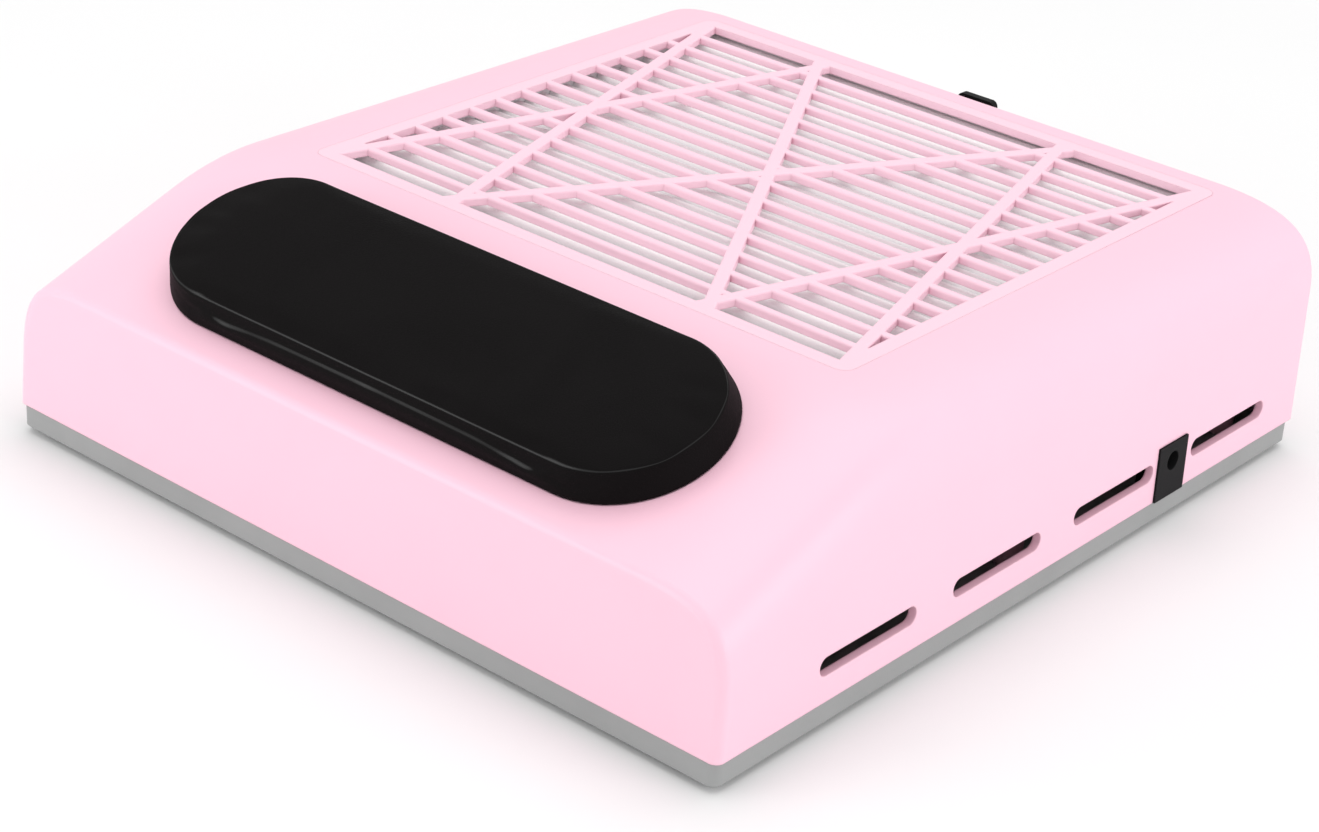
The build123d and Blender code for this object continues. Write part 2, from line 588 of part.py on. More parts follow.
def switch_rocker():
    """Rocker in its off position, turned half its throw about an upright pivot."""
    half = 7.6
    profile = Polyline((-half, -1.5), (half, -1.5), (half, 4.6), (0, 3.4), (-half, 4.6), close=True)
    rocker = extrude(make_face(profile), 5.0, both=True)
    return Pos(SWITCH_X, REAR_Y - 3, SWITCH_Z) * Rot(0, 0, -SWITCH_THROW / 2) * rocker


def switch_terminals():
    low, high = SWITCH_Z - 2.4, SWITCH_Z + 2.4
    return group([
        block(x - 0.4, x + 0.4, REAR_Y - 20, REAR_Y - 13.05, low, high) for x in (SWITCH_X - 5, SWITCH_X + 5)
    ])


# ---------------------------------------------------------------- inside wiring
def lead(points):
    """Jacketed two-core lead: straight runs joined by arcs as large as the runs allow."""
    runs = [Vector(b) - Vector(a) for a, b in zip(points, points[1:])]
    radii = [
        min(12.0, 0.45 * min(a.length, b.length) / math.tan(math.radians(a.get_angle(b)) / 2))
        for a, b in zip(runs, runs[1:])
    ]
    path = FilletPolyline(*points, radius=radii)
    return sweep(Plane(origin=path @ 0, z_dir=path % 0) * Circle(LEAD_RADIUS), path=path)


def into_header(index, arch):
    """Last points of a lead: level above its header on the board, then straight down into it."""
    x, y = WIRE_HEADERS[index]
    return [(x, BOARD_Y + y, arch), (x, BOARD_Y + y, BOARD_Z + 4.0)]


def socket_lead():
    y = FRONT_Y + SOCKET_CENTRE
    start = [
        (109.5, y, SOCKET_HOLE_Z), (LEAD_LANE_X, y, SOCKET_HOLE_Z), (LEAD_LANE_X, y - 48, 14.0),
        (LEAD_LANE_X, y - 96, 14.0), (84.0, y - 128, 20.0), (52.0, BOARD_Y - 16, LEAD_ARCH_Z),
    ]
    return lead(start + into_header(3, LEAD_ARCH_Z))


def switch_lead():
    y = REAR_Y - 13.1
    start = [
        (SWITCH_X, y, SWITCH_Z), (SWITCH_X, y - 17, SWITCH_Z), (LEAD_LANE_X, y - 35, SWITCH_Z),
        (LEAD_LANE_X, y - 90, SWITCH_Z), (LEAD_LANE_X - 0.5, y - 140, SWITCH_Z), (64.0, y - 166, LEAD_ARCH_Z),
        (26.0, BOARD_Y + 20, LEAD_ARCH_Z),
    ]
    return lead(start + into_header(2, LEAD_ARCH_Z))


def fan_lead(side, header):
    """From the fan's front face to the board."""
    y = FAN_Y - FAN_SIZE / 2 - 0.1
    start = [(side * 42, y, 17.0), (side * 42, y - 15, 17.0), (side * 35, y - 31, FAN_LEAD_ARCH_Z)]
    return lead(start + into_header(header, FAN_LEAD_ARCH_Z))


# ---------------------------------------------------------------- write the parts
PARTS = {
    "upper_shell": upper_shell(),
    "intake_grille": intake_grille(),
    "hand_rest_carrier": hand_rest_carrier(),
    "hand_rest_pad": hand_rest_pad(),
    "hand_rest_push_nuts": push_nuts(),
    "base_plate": base_plate(),
    "rubber_feet": rubber_feet(),
    "base_screws": base_screws(),
    "filter_frame": filter_frame(),
    "filter_media": filter_media(),
    "filter_door": filter_door(),
    "suction_tray": suction_tray(),
    "tray_screws": tray_screws(),
    "fan_screws": fan_screws(),
    "circuit_board": circuit_board(),
    "board_screws": board_screws(),
    "board_capacitors": board_capacitors(),
    "board_choke": board_choke(),
    "board_heat_sink": board_heat_sink(),
    "board_regulator": board_regulator(),
    "board_connectors": board_connectors(),
    "socket_bezel": socket_bezel(),
    "socket_body": socket_body(),
    "socket_pin": socket_pin(),
    "socket_terminals": socket_terminals(),
    "switch_housing": switch_housing(),
    "switch_rocker": switch_rocker(),
    "switch_terminals": switch_terminals(),
    "socket_lead": socket_lead(),
    "switch_lead": switch_lead(),
    "fan_lead_right": fan_lead(1, 0),
    "fan_lead_left": fan_lead(-1, 1),
}
for name, x in (("left", -FAN_X), ("right", FAN_X)):
    PARTS["fan_housing_" + name] = fan_housing(x)
    PARTS["fan_rotor_" + name] = fan_rotor(x)
    PARTS["rotor_magnet_" + name] = rotor_magnet(x)
    PARTS["fan_shaft_" + name] = fan_shaft(x)
    PARTS["fan_bearings_" + name] = fan_bearings(x)
    PARTS["motor_stator_" + name] = motor_stator(x)
    PARTS["motor_windings_" + name] = motor_windings(x)

os.makedirs("parts", exist_ok=True)
for name, shape in PARTS.items():
    export_step(shape, f"parts/{name}.step")
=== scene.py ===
import math

import bmesh
import bpy
from mathutils import Matrix, Vector


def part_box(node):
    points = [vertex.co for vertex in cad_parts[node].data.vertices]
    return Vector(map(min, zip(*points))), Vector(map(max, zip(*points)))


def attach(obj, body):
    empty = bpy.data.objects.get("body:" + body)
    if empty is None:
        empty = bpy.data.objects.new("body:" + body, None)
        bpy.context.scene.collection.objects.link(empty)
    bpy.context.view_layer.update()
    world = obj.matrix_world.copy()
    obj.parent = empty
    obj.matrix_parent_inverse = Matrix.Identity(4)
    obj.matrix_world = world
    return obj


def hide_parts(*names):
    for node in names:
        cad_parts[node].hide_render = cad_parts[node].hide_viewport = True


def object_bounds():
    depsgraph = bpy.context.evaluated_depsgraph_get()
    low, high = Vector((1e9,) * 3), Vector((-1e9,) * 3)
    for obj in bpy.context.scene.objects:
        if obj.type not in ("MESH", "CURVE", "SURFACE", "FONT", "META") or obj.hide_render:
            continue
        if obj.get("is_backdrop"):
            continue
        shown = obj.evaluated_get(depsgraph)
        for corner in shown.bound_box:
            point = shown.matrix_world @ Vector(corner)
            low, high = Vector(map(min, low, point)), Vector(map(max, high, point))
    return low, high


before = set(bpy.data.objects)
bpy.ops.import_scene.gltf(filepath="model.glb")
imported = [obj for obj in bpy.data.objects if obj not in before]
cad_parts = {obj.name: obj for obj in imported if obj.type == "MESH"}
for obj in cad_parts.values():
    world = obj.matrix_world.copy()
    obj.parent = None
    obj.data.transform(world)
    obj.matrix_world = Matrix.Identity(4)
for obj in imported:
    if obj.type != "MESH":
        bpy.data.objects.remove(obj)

cad_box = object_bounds()


# ------------------------------------------------------------------------------------------------
# Base plate. A shallow grey ABS tray that closes the bottom of the collector. It is injection
# moulded with a fine spark-eroded grain, and its rim shows as a band under the pink shell.
# ------------------------------------------------------------------------------------------------
def node(tree, kind, inputs, **settings):
    """Add a shader node. An input is given as a value, or as another node's output to link."""
    made = tree.nodes.new("ShaderNode" + kind)
    for key, value in settings.items():
        setattr(made, key, value)
    for key, value in inputs.items():
        if isinstance(value, bpy.types.NodeSocket):
            tree.links.new(value, made.inputs[key])
        else:
            made.inputs[key].default_value = value
    return made


def effect(name, inputs, outputs):
    """Start a shared node group: float inputs with their usual values, and outputs by kind."""
    tree = bpy.data.node_groups.new(name, "ShaderNodeTree")
    for label, value in inputs.items():
        socket = tree.interface.new_socket(label, in_out="INPUT", socket_type="NodeSocketFloat")
        socket.default_value = value
    for label, kind in outputs.items():
        tree.interface.new_socket(label, in_out="OUTPUT", socket_type="NodeSocket" + kind)
    return tree, tree.nodes.new("NodeGroupInput"), tree.nodes.new("NodeGroupOutput")


def spots(tree, size, detail=3.0, distortion=0.0):
    """Noise whose blotches are about as large as size, a socket in metres."""
    place = node(tree, "TexCoord", {})
    per_metre = node(tree, "Math", {0: 1.0, 1: size}, operation="DIVIDE")
    noise = node(tree, "TexNoise", {
        "Vector": place.outputs["Object"], "Scale": per_metre.outputs[0],
        "Detail": detail, "Roughness": 0.6, "Distortion": distortion,
    })
    return noise.outputs[0]


# The grain that a mould leaves, and the broad cloudy marks where the plastic flowed.
tree, given, result = effect(
    "mould_grain", {"Grain Size": 0.0007, "Flow Size": 0.06}, {"Grain": "Float", "Flow": "Float"}
)
tree.links.new(spots(tree, given.outputs["Grain Size"]), result.inputs["Grain"])
clouds = spots(tree, given.outputs["Flow Size"], detail=2.0, distortion=1.2)
flow = node(tree, "MapRange", {"Value": clouds, "From Min": 0.3, "From Max": 0.7})
tree.links.new(flow.outputs[0], result.inputs["Flow"])

# Where two faces meet: a mask that is 1 on the rubbed edge, and the normal of a slightly soft edge.
tree, given, result = effect("soft_edges", {"Radius": 0.0004}, {"Mask": "Float", "Normal": "Vector"})
rounded = node(tree, "Bevel", {"Radius": given.outputs["Radius"]}, samples=6)
surface = node(tree, "NewGeometry", {})
agreement = node(
    tree, "VectorMath", {0: rounded.outputs[0], 1: surface.outputs["Normal"]}, operation="DOT_PRODUCT"
)
turned = node(tree, "MapRange", {
    "Value": agreement.outputs["Value"], "From Min": 0.995, "From Max": 0.88,
})
patches = node(tree, "MapRange", {"Value": spots(tree, 0.004), "From Min": 0.35, "From Max": 0.6})
worn = node(tree, "Math", {0: turned.outputs[0], 1: patches.outputs[0]}, operation="MULTIPLY")
tree.links.new(worn.outputs[0], result.inputs["Mask"])
tree.links.new(rounded.outputs[0], result.inputs["Normal"])


def shaded(name):
    """A new material with its node tree and its shader."""
    material = bpy.data.materials.new(name)
    material.use_nodes = True
    return material, material.node_tree, material.node_tree.nodes["Principled BSDF"]


def shared(tree, name, **inputs):
    """Place a shared node group in a material, with this material's own values."""
    values = {label.replace("_", " "): value for label, value in inputs.items()}
    return node(tree, "Group", values, node_tree=bpy.data.node_groups[name])


def blended(tree, amount, first, second):
    """Colour between two others, each a linear RGB triple or a colour socket."""
    ends = [c if isinstance(c, bpy.types.NodeSocket) else (*c, 1.0) for c in (first, second)]
    return node(tree, "Mix", {0: amount, 6: ends[0], 7: ends[1]}, data_type="RGBA").outputs[2]


def between(tree, value, low, high):
    """Spread a mask of 0 to 1 over another range."""
    return node(tree, "MapRange", {"Value": value, "To Min": low, "To Max": high}).outputs[0]


GLOSS_SPREAD = 0.04        # how far the grain moves the roughness, up and down
EDGE_WEAR = 0.6            # how far a rubbed edge goes to its own colour


def moulded(name, colour, flow_colour, edge_colour, gloss, grain=(0.0007, 0.00002), edge=0.0004):
    """Moulded plastic. gloss is roughness and specular level; grain is its size and its depth."""
    material, tree, shader = shaded(name)
    skin = shared(tree, "mould_grain", Grain_Size=grain[0])
    edges = shared(tree, "soft_edges", Radius=edge)
    body = blended(tree, skin.outputs["Flow"], colour, flow_colour)
    worn = between(tree, edges.outputs["Mask"], 0.0, EDGE_WEAR)
    tree.links.new(blended(tree, worn, body, edge_colour), shader.inputs["Base Color"])
    dull = between(tree, skin.outputs["Grain"], gloss[0] - GLOSS_SPREAD, gloss[0] + GLOSS_SPREAD)
    tree.links.new(dull, shader.inputs["Roughness"])
    shader.inputs["Specular IOR Level"].default_value = gloss[1]
    relief = node(tree, "Bump", {
        "Height": skin.outputs["Grain"], "Distance": grain[1], "Normal": edges.outputs["Normal"],
    })
    tree.links.new(relief.outputs[0], shader.inputs["Normal"])
    return material


def finish(material, *names):
    """Give carried-over parts their material."""
    for name in names:
        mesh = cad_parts[name].data
        mesh.materials.clear()
        mesh.materials.append(material)


base_grey = moulded(
    "base_grey", (0.335, 0.342, 0.340), (0.305, 0.312, 0.310), (0.44, 0.45, 0.45),
    gloss=(0.55, 0.35), grain=(0.0006, 0.00005),
)
finish(base_grey, "base_plate")


# ------------------------------------------------------------------------------------------------
# Feet. Four black rubber discs, die cut from sheet and glued into shallow recesses of the base,
# so they have a matte, faintly pitted skin.
# ------------------------------------------------------------------------------------------------
foot_rubber = moulded(
    "foot_rubber", (0.018, 0.018, 0.018), (0.028, 0.027, 0.026), (0.05, 0.05, 0.048),
    gloss=(0.82, 0.2), grain=(0.0009, 0.00006),
)
finish(foot_rubber, "rubber_feet")


# ------------------------------------------------------------------------------------------------
# Circuit board. Green laminate with copper tracks under its solder mask, on four posts of the
# base. It carries the regulator on a bare alloy heat sink, three capacitors, a choke and the headers.
# ------------------------------------------------------------------------------------------------
TRACK_WIDTH = 0.0012
TRACK_LENGTH = 0.013
TRACK_PITCH = 0.0042

material, tree, shader = shaded("board_laminate")
place = node(tree, "TexCoord", {})
tracks = node(tree, "TexBrick", {
    "Vector": place.outputs["Object"], "Scale": 1.0, "Mortar Size": TRACK_WIDTH / 2,
    "Brick Width": TRACK_LENGTH, "Row Height": TRACK_PITCH, "Mortar Smooth": 0.1,
}, offset=0.37, squash=0.6, squash_frequency=3)
mask_green = blended(tree, tracks.outputs["Fac"], (0.012, 0.115, 0.045), (0.03, 0.24, 0.09))
tree.links.new(mask_green, shader.inputs["Base Color"])
weave = shared(tree, "mould_grain", Grain_Size=0.0011)
tree.links.new(between(tree, weave.outputs["Grain"], 0.22, 0.4), shader.inputs["Roughness"])
relief = node(tree, "Bump", {"Height": tracks.outputs["Fac"], "Distance": 0.00004})
tree.links.new(relief.outputs[0], shader.inputs["Normal"])
finish(material, "circuit_board")

# Drawn and sawn metal shows fine streaks that run one way.
tree, given, result = effect(
    "drawn_streaks", {"Across": 0.0002, "Along": 0.006}, {"Streaks": "Float", "Stain": "Float"}
)
place = node(tree, "TexCoord", {})
across = node(tree, "Math", {0: 1.0, 1: given.outputs["Across"]}, operation="DIVIDE")
along = node(tree, "Math", {0: 1.0, 1: given.outputs["Along"]}, operation="DIVIDE")
stretch = node(tree, "CombineXYZ", {0: along.outputs[0], 1: across.outputs[0], 2: across.outputs[0]})
drawn = node(tree, "VectorMath", {0: place.outputs["Object"], 1: stretch.outputs[0]}, operation="MULTIPLY")
lines = node(tree, "TexNoise", {"Vector": drawn.outputs[0], "Scale": 1.0, "Detail": 2.0})
tree.links.new(lines.outputs[0], result.inputs["Streaks"])
tree.links.new(spots(tree, 0.009), result.inputs["Stain"])


def metal(name, colour, dull_colour, roughness, across=0.0002):
    """Bare or plated metal with drawing streaks, and a slightly dull film in patches."""
    material, tree, shader = shaded(name)
    marks = shared(tree, "drawn_streaks", Across=across)
    film = blended(tree, marks.outputs["Stain"], colour, dull_colour)
    tree.links.new(film, shader.inputs["Base Color"])
    rough = between(tree, marks.outputs["Streaks"], roughness - 0.1, roughness + 0.1)
    tree.links.new(rough, shader.inputs["Roughness"])
    shader.inputs["Metallic"].default_value = 1.0
    edges = shared(tree, "soft_edges", Radius=0.0002)
    relief = node(tree, "Bump", {
        "Height": marks.outputs["Streaks"], "Distance": 0.00001, "Normal": edges.outputs["Normal"],
    })
    tree.links.new(relief.outputs[0], shader.inputs["Normal"])
    return material


zinc_steel = metal("zinc_steel", (0.62, 0.63, 0.62), (0.46, 0.47, 0.44), 0.38)
finish(zinc_steel, "board_screws")
finish(metal("heat_sink_alloy", (0.72, 0.72, 0.73), (0.60, 0.60, 0.61), 0.42), "board_heat_sink")

black_moulding = moulded(
    "black_moulding", (0.009, 0.009, 0.010), (0.014, 0.014, 0.014), (0.06, 0.06, 0.058),
    gloss=(0.45, 0.05), grain=(0.0005, 0.00003), edge=0.0003,
)
finish(black_moulding, "board_regulator")

natural_nylon = moulded(
    "natural_nylon", (0.78, 0.74, 0.62), (0.70, 0.66, 0.54), (0.85, 0.82, 0.74),
    gloss=(0.35, 0.5), grain=(0.0006, 0.00001), edge=0.0002,
)
finish(natural_nylon, "board_connectors")

# A shrunk sleeve has a pale stripe down its negative side, and a plain aluminium top.
STRIPE_FACING = 0.93       # the stripe covers what faces the collector's right at least so squarely
CROWN_FACING = 0.9

material, tree, shader = shaded("capacitor_sleeve")
surface = node(tree, "NewGeometry", {})
facing = node(tree, "SeparateXYZ", {0: surface.outputs["Normal"]})
stripe = node(tree, "Math", {0: facing.outputs[0], 1: STRIPE_FACING}, operation="GREATER_THAN")
crown = node(tree, "Math", {0: facing.outputs[2], 1: CROWN_FACING}, operation="GREATER_THAN")
sleeve = blended(tree, stripe.outputs[0], (0.012, 0.014, 0.035), (0.42, 0.44, 0.47))
tree.links.new(blended(tree, crown.outputs[0], sleeve, (0.62, 0.62, 0.63)), shader.inputs["Base Color"])
tree.links.new(crown.outputs[0], shader.inputs["Metallic"])
shrink = shared(tree, "mould_grain", Grain_Size=0.0012)
tree.links.new(between(tree, shrink.outputs["Grain"], 0.2, 0.42), shader.inputs["Roughness"])
finish(material, "board_capacitors")


ONE_BAND = 0.314           # scale at which the wave texture has one band in each metre


def enamelled_wire(name, turn_axis, wire=0.0005):
    """Copper winding: side-by-side turns of enamelled wire, laid across one axis."""
    material, tree, shader = shaded(name)
    place = node(tree, "TexCoord", {})
    turns = node(tree, "TexWave", {
        "Vector": place.outputs["Object"], "Scale": ONE_BAND / wire, "Distortion": 0.8, "Detail": 2.0,
    }, wave_type="BANDS", bands_direction=turn_axis)
    copper = blended(tree, turns.outputs["Fac"], (0.24, 0.06, 0.022), (0.80, 0.33, 0.14))
    tree.links.new(copper, shader.inputs["Base Color"])
    shader.inputs["Metallic"].default_value = 0.85
    tree.links.new(between(tree, turns.outputs["Fac"], 0.5, 0.25), shader.inputs["Roughness"])
    relief = node(tree, "Bump", {"Height": turns.outputs["Fac"], "Distance": wire / 2})
    tree.links.new(relief.outputs[0], shader.inputs["Normal"])
    return material


finish(enamelled_wire("choke_wire", "X", wire=0.0009), "board_choke")


# ------------------------------------------------------------------------------------------------
# Power socket. A 5.5 mm barrel jack behind a black moulded surround, clipped in the right wall.
# Its centre pin is bright nickel, and its solder tags are tinned brass.
# ------------------------------------------------------------------------------------------------
finish(black_moulding, "socket_bezel", "socket_body")
bright_steel = metal("bright_steel", (0.76, 0.76, 0.75), (0.66, 0.66, 0.64), 0.2, across=0.0001)
finish(bright_steel, "socket_pin")
tinned_brass = metal("tinned_brass", (0.78, 0.66, 0.42), (0.62, 0.56, 0.44), 0.35)
finish(tinned_brass, "socket_terminals")


# ------------------------------------------------------------------------------------------------
# Rocker switch. Snapped into the rear wall; the rocker is polished black, and its bezel and
# housing are a duller black moulding. Two blade terminals stand out behind it.
# ------------------------------------------------------------------------------------------------
rocker_black = moulded(
    "rocker_black", (0.014, 0.014, 0.015), (0.02, 0.02, 0.02), (0.08, 0.08, 0.08),
    gloss=(0.2, 0.5), grain=(0.0015, 0.00001), edge=0.0005,
)
finish(rocker_black, "switch_rocker")
finish(black_moulding, "switch_housing")
finish(tinned_brass, "switch_terminals")


# ------------------------------------------------------------------------------------------------
# Leads. Round PVC jackets between the socket, the switch, the fans and the board. Extruding them
# leaves a soft sheen.
# ------------------------------------------------------------------------------------------------
lead_jacket = moulded(
    "lead_jacket", (0.014, 0.014, 0.014), (0.022, 0.022, 0.022), (0.03, 0.03, 0.03),
    gloss=(0.48, 0.35), grain=(0.0011, 0.00004), edge=0.0001,
)
finish(lead_jacket, "socket_lead", "switch_lead", "fan_lead_left", "fan_lead_right")


# ------------------------------------------------------------------------------------------------
# Fans. Two square axial fans in black glass-filled nylon. Each rotor's cup holds a ring magnet and
# turns on a ground shaft in two bearings, round a stack of laminations with four copper coils.
# ------------------------------------------------------------------------------------------------
fan_nylon = moulded(
    "fan_nylon", (0.016, 0.016, 0.018), (0.03, 0.03, 0.032), (0.07, 0.07, 0.07),
    gloss=(0.4, 0.4), grain=(0.0009, 0.00003), edge=0.0003,
)
ferrite = moulded(
    "ferrite", (0.035, 0.034, 0.033), (0.055, 0.053, 0.05), (0.09, 0.088, 0.085),
    gloss=(0.6, 0.5), grain=(0.0004, 0.00003), edge=0.0002,
)
coil_wire = enamelled_wire("coil_wire", "Z")

LAMINATION = 0.0005
material, tree, shader = shaded("stacked_laminations")
place = node(tree, "TexCoord", {})
sheets = node(tree, "TexWave", {
    "Vector": place.outputs["Object"], "Scale": ONE_BAND / LAMINATION, "Distortion": 0.2,
}, wave_type="BANDS", bands_direction="Z", wave_profile="SAW")
steel = blended(tree, sheets.outputs["Fac"], (0.30, 0.30, 0.31), (0.52, 0.52, 0.53))
tree.links.new(steel, shader.inputs["Base Color"])
shader.inputs["Metallic"].default_value = 0.9
tree.links.new(between(tree, sheets.outputs["Fac"], 0.35, 0.55), shader.inputs["Roughness"])
relief = node(tree, "Bump", {"Height": sheets.outputs["Fac"], "Distance": 0.00015})
tree.links.new(relief.outputs[0], shader.inputs["Normal"])

for side in ("left", "right"):
    finish(fan_nylon, "fan_housing_" + side, "fan_rotor_" + side)
    finish(ferrite, "rotor_magnet_" + side)
    finish(bright_steel, "fan_shaft_" + side, "fan_bearings_" + side)
    finish(material, "motor_stator_" + side)
    finish(coil_wire, "motor_windings_" + side)
finish(zinc_steel, "fan_screws")


# ------------------------------------------------------------------------------------------------
# Suction tray. The pale grey tub that the filter drawer slides in; the fans hang under its floor.
# Fine nail dust that gets past the filter settles on what faces up.
# ------------------------------------------------------------------------------------------------
tree, given, result = effect("settled_dust", {"Amount": 0.5}, {"Mask": "Float"})
surface = node(tree, "NewGeometry", {})
facing = node(tree, "SeparateXYZ", {0: surface.outputs["Normal"]})
level = node(tree, "MapRange", {"Value": facing.outputs[2], "From Min": 0.5, "From Max": 1.0})
drift = node(tree, "MapRange", {"Value": spots(tree, 0.03, detail=8.0), "From Min": 0.35, "From Max": 0.75})
lying = node(tree, "Math", {0: level.outputs[0], 1: drift.outputs[0]}, operation="MULTIPLY")
kept = node(tree, "Math", {0: lying.outputs[0], 1: given.outputs["Amount"]}, operation="MULTIPLY")
tree.links.new(kept.outputs[0], result.inputs["Mask"])

tray_grey = moulded(
    "tray_grey", (0.58, 0.58, 0.58), (0.53, 0.53, 0.535), (0.66, 0.66, 0.66),
    gloss=(0.5, 0.35), grain=(0.001, 0.00003),
)
tree = tray_grey.node_tree
shader = tree.nodes["Principled BSDF"]
dust = shared(tree, "settled_dust", Amount=0.45)
clean = shader.inputs["Base Color"].links[0].from_socket
dusty = blended(tree, dust.outputs["Mask"], clean, (0.80, 0.74, 0.75))
tree.links.new(dusty, shader.inputs["Base Color"])
finish(tray_grey, "suction_tray")
finish(zinc_steel, "tray_screws")


# ------------------------------------------------------------------------------------------------
# Upper shell. One pink ABS moulding with a satin gloss: the low front face, the slope, the flat
# top and both round shoulders. Six screws hold it to the base from below.
# ------------------------------------------------------------------------------------------------
PINK = (0.935, 0.565, 0.682)
PINK_FLOW = (0.93, 0.574, 0.690)
PINK_EDGE = (0.95, 0.66, 0.75)

pink_gloss = moulded(
    "pink_gloss", PINK, PINK_FLOW, PINK_EDGE,
    gloss=(0.36, 0.42), grain=(0.0040, 0.000003), edge=0.0006,
)
finish(pink_gloss, "upper_shell")
finish(zinc_steel, "base_screws")


# ------------------------------------------------------------------------------------------------
# Intake grille. A separate moulding in a slightly paler pink, set in the window of the top and
# glued by its flange; its slats and wider zigzag ribs are rounded, and lie flush with the top.
# ------------------------------------------------------------------------------------------------
GRILLE_PINK = (0.93, 0.612, 0.716)
GRILLE_FLOW = (0.925, 0.622, 0.726)
CORNER_SHADE_PINK = (0.66, 0.30, 0.40)
CORNER_REACH = 0.0028      # a corner looks deeper when its walls are this close
CORNER_DEPTH = 0.75        # how far the deepest corner goes to the deep pink

pink_satin = moulded(
    "pink_satin", GRILLE_PINK, GRILLE_FLOW, PINK_EDGE,
    gloss=(0.42, 0.4), grain=(0.0012, 0.000003), edge=0.0006,
)

# Painted shade: light hardly reaches the corners of the slots, so their colour goes to a darker pink there.
tree = pink_satin.node_tree
shader = tree.nodes["Principled BSDF"]
hidden = node(tree, "AmbientOcclusion", {"Distance": CORNER_REACH}, samples=8)
corner = node(tree, "MapRange", {
    "Value": hidden.outputs["AO"], "From Min": 0.62, "From Max": 0.18, "To Min": 0.0, "To Max": CORNER_DEPTH,
})
open_colour = shader.inputs["Base Color"].links[0].from_socket
pinks = blended(tree, corner.outputs[0], open_colour, CORNER_SHADE_PINK)
tree.links.new(pinks, shader.inputs["Base Color"])
finish(pink_satin, "intake_grille")


# ------------------------------------------------------------------------------------------------
# Hand rest. A foam block in a thin black polyurethane skin, moulded on a stiff plate. The plate's
# four studs pass through the slope and are held inside by push-on spring nuts.
# ------------------------------------------------------------------------------------------------
PAD_LEAN_IN = 0.0020       # the sides lean in by this much
PAD_EDGE = 0.0019          # radius of the moulded edge round the top
PAD_CROWN = 0.0009         # rise of the top from its edge to its middle
PAD_PLATE_GAP = 0.0023     # the skin is turned in under the foam, round the plate
PAD_TURN_IN = 0.00062      # height of the skin's inner lip under the foam
PAD_LIFT = 0.0001          # the skin starts this far above the slope
PAD_ARC_STEPS = 28
PAD_SIDE_STEPS = 44
PAD_WALL_RINGS = 8
PAD_EDGE_RINGS = 5
PAD_CROWN_RINGS = 10
BONDED_RINGS = 5           # rings of the skin that are held by the plate
FOAM_PRESSURE = 4.0
FOAM_FRAMES = 20
PAD_SWELL = 0.0006         # most that the foam may push the skin out

finish(black_moulding, "hand_rest_carrier")
finish(zinc_steel, "hand_rest_push_nuts")

# The slope's direction and the pad's centre, from the flat crown of the plain pad.
plain_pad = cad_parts["hand_rest_pad"].data
crown = max((p for p in plain_pad.polygons if p.normal.z > 0.5), key=lambda p: p.area)
out = Vector((0.0, crown.normal.y, crown.normal.z)).normalized()
uphill = Vector((0.0, out.z, -out.y))
across_slope = [v.co.dot(uphill) for v in plain_pad.vertices]
away = [v.co.dot(out) for v in plain_pad.vertices]
pad_width = max(across_slope) - min(across_slope)
pad_low, pad_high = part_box("hand_rest_pad")
pad_length = pad_high[0] - pad_low[0]
pad_height = max(away) - min(away)
pad_foot = uphill * (max(across_slope) + min(across_slope)) / 2 + out * min(away)


def pad_section():
    """Inset and height of each ring: under the foot, up the leaning side, round the edge, the crown."""
    shoulder = pad_height - PAD_CROWN - PAD_EDGE
    rings = [(PAD_PLATE_GAP, PAD_TURN_IN), (PAD_PLATE_GAP, PAD_LIFT)]
    for step in range(PAD_WALL_RINGS + 1):
        part = step / PAD_WALL_RINGS
        rings.append((PAD_LEAN_IN * part, PAD_LIFT + (shoulder - PAD_LIFT) * part))
    for step in range(1, PAD_EDGE_RINGS + 1):
        turn = math.pi / 2 * step / PAD_EDGE_RINGS
        inset = PAD_LEAN_IN + PAD_EDGE * (1 - math.cos(turn))
        rings.append((inset, shoulder + PAD_EDGE * math.sin(turn)))
    start = rings[-1][0]
    end = pad_width / 2
    for step in range(1, PAD_CROWN_RINGS):
        part = step / PAD_CROWN_RINGS
        rise = PAD_CROWN * math.sin(math.pi / 2 * part)
        rings.append((start + (end - start) * part, pad_height - PAD_CROWN + rise))
    return rings


def stadium_ring(inset, height):
    """Points round the pad's outline, shrunk by inset and raised by height, on the slope."""
    radius = pad_width / 2 - inset
    half = (pad_length - pad_width) / 2
    flat = []
    for end in (1, -1):
        for step in range(PAD_ARC_STEPS):
            turn = math.pi * (step / PAD_ARC_STEPS - 0.5)
            flat.append((end * (half + radius * math.cos(turn)), end * radius * math.sin(turn)))
        for step in range(PAD_SIDE_STEPS):
            flat.append((end * half * (1 - 2 * step / PAD_SIDE_STEPS), end * radius))
    return [Vector((x, 0.0, 0.0)) + pad_foot + uphill * y + out * height for x, y in flat]


def piece_from(name, bm, material):
    """Turn finished mesh work into an object of the scene, in the frame's own coordinates."""
    mesh = bpy.data.meshes.new(name)
    bm.normal_update()
    bm.to_mesh(mesh)
    bm.free()
    mesh.materials.append(material)
    made = bpy.data.objects.new(name, mesh)
    bpy.context.scene.collection.objects.link(made)
    for polygon in mesh.polygons:
        polygon.use_smooth = True
    return made


